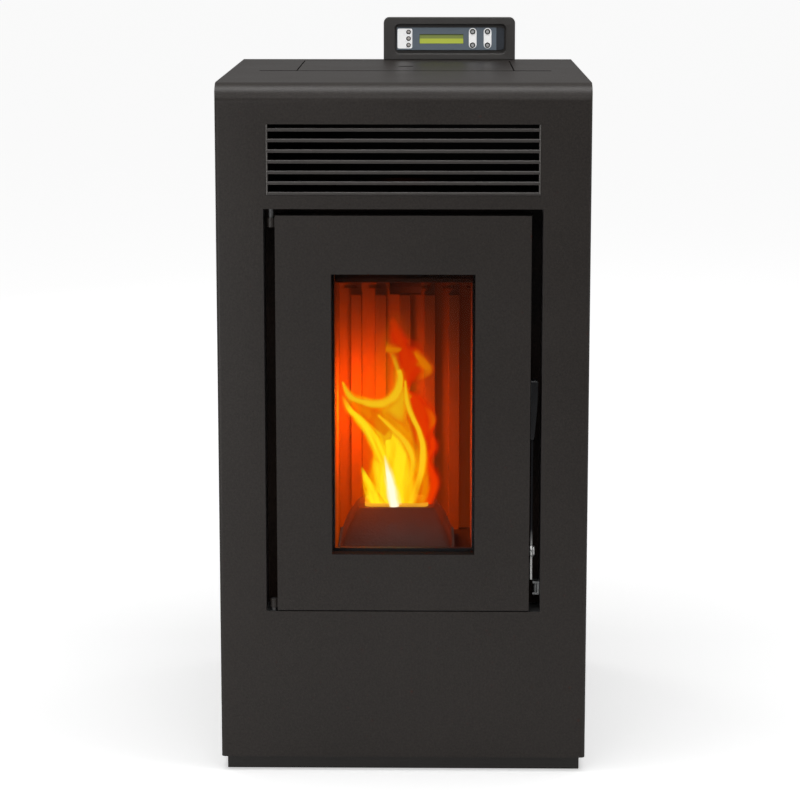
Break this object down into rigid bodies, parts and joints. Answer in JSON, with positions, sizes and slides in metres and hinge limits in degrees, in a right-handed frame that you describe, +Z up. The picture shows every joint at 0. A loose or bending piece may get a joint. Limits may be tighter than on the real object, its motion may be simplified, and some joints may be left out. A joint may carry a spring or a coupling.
{
  "type": "pellet stove",
  "caption": "Floor-standing pellet stove with a folded sheet casing, recessed glazed door, louvred warm-air grille, lidded hopper and an upright control panel.",
  "frame": {"origin": "centre of the whole stove on the floor, flue stub included", "axes": "+X to the right as one faces the door, +Y from the door to the rear, +Z up"},
  "size_m": [0.48, 0.565, 0.9697],
  "materials": {
    "panel_paint": "fine-textured matt anthracite powder coat",
    "dark_paint": "matt black paint",
    "heat_paint": "matt blue-grey heat-resistant paint",
    "galvanised": "dull galvanised sheet",
    "bright_steel": "polished steel",
    "cast_iron": "rough, sooty casting",
    "liner_board": "pressed heat-proof board, browned",
    "rope_seal": "braided glass-fibre rope",
    "rubber": "matt",
    "black_plastic": "moulded, fine texture",
    "door_ceramic_glass": "smoked ceramic glass",
    "keypad": "blue-grey film",
    "button_cap": "satin",
    "lamp_lens": "clear lens",
    "dark_window": "smoked infrared window",
    "display_green": "lit green-yellow display",
    "circuit_board": "green lacquer"
  },
  "bodies": {
    "root": {"front_and_top_panel": "panel_paint", "right_side_panel": "panel_paint", "left_side_panel": "panel_paint", "rear_panel": "panel_paint", "plinth": "dark_paint", "base_plate": "galvanised", "foot_front_left": "black_plastic", "foot_rear_left": "black_plastic", "foot_front_right": "black_plastic", "foot_rear_right": "black_plastic", "door_surround": "dark_paint", "louvre_grille": "panel_paint", "warm_air_hood": "galvanised", "latch_keeper": "bright_steel", "display_housing": "panel_paint", "keypad_plate": "keypad", "ir_window": "dark_window", "lcd_window": "display_green", "indicator_lamp_1": "lamp_lens", "indicator_lamp_2": "lamp_lens", "indicator_lamp_3": "lamp_lens", "firebox": "heat_paint", "side_liner_left": "liner_board", "side_liner_right": "liner_board", "ribbed_back_plate": "cast_iron", "hearth_plate": "cast_iron", "baffle_plate": "cast_iron", "pot_cover": "cast_iron", "ash_pan": "galvanised", "hopper": "galvanised", "lid_gasket": "rubber", "hopper_grid": "bright_steel", "auger_tube": "galvanised", "auger_gearmotor": "black_plastic", "drop_chute": "galvanised", "igniter": "bright_steel", "smoke_collector": "galvanised", "smoke_fan_housing": "galvanised", "flue_outlet": "bright_steel", "air_intake": "galvanised", "air_fan_housing": "galvanised", "control_board": "circuit_board", "mains_inlet": "black_plastic"},
    "door": {"door_frame": "panel_paint", "door_glass": "door_ceramic_glass", "door_back_plate": "heat_paint", "door_seal": "rope_seal", "handle_pivot": "bright_steel"},
    "handle": {"handle_bar": "bright_steel", "handle_grip": "black_plastic"},
    "lid": {"hopper_lid": "panel_paint"},
    "pot": {"burn_pot": "cast_iron"},
    "screw": {"auger_screw": "bright_steel"},
    "smoke_wheel": {"smoke_fan_wheel": "bright_steel"},
    "air_wheel": {"air_fan_wheel": "galvanised"},
    "rocker": {"rocker_switch": "black_plastic"},
    "key_left_upper": {"button_left_upper": "button_cap"},
    "key_left_lower": {"button_left_lower": "button_cap"},
    "key_right_upper": {"button_right_upper": "button_cap"},
    "key_right_lower": {"button_right_lower": "button_cap"}
  },
  "joints": [
    {"name": "door_hinge", "type": "hinge", "parent": "root", "child": "door", "pos_m": [-0.169, -0.2769, 0.479], "axis": [0, 0, -1], "range_deg": [0, 110]},
    {"name": "handle_turn", "type": "hinge", "parent": "door", "child": "handle", "pos_m": [0.1675, -0.272, 0.298], "axis": [1, 0, 0], "range_deg": [0, 35]},
    {"name": "lid_hinge", "type": "hinge", "parent": "root", "child": "lid", "pos_m": [0, 0.1929, 0.903], "axis": [-1, 0, 0], "range_deg": [0, 85]},
    {"name": "burn_pot_lift", "type": "slide", "parent": "root", "child": "pot", "axis": [0, 0, 1], "range_m": [0, 0.1]},
    {"name": "auger_turn", "type": "hinge", "parent": "root", "child": "screw", "pos_m": [0, 0.101, 0.6015], "axis": [0, -0.7071, 0.7071], "continuous": true},
    {"name": "smoke_wheel_turn", "type": "hinge", "parent": "root", "child": "smoke_wheel", "pos_m": [0, 0.0075, 0.14], "axis": [0, 1, 0], "continuous": true},
    {"name": "air_wheel_turn", "type": "hinge", "parent": "root", "child": "air_wheel", "pos_m": [-0.13, 0.1095, 0.078], "axis": [1, 0, 0], "continuous": true},
    {"name": "rocker_tilt", "type": "hinge", "parent": "root", "child": "rocker", "pos_m": [0.205, 0.238, 0.063], "axis": [1, 0, 0], "range_deg": [-8, 8]},
    {"name": "press_left_upper", "type": "slide", "parent": "root", "child": "key_left_upper", "axis": [0, 1, 0], "range_m": [0, 0.0008], "stiffness_N_per_m": 400},
    {"name": "press_left_lower", "type": "slide", "parent": "root", "child": "key_left_lower", "axis": [0, 1, 0], "range_m": [0, 0.0008], "stiffness_N_per_m": 400},
    {"name": "press_right_upper", "type": "slide", "parent": "root", "child": "key_right_upper", "axis": [0, 1, 0], "range_m": [0, 0.0008], "stiffness_N_per_m": 400},
    {"name": "press_right_lower", "type": "slide", "parent": "root", "child": "key_right_lower", "axis": [0, 1, 0], "range_m": [0, 0.0008], "stiffness_N_per_m": 400}
  ]
}
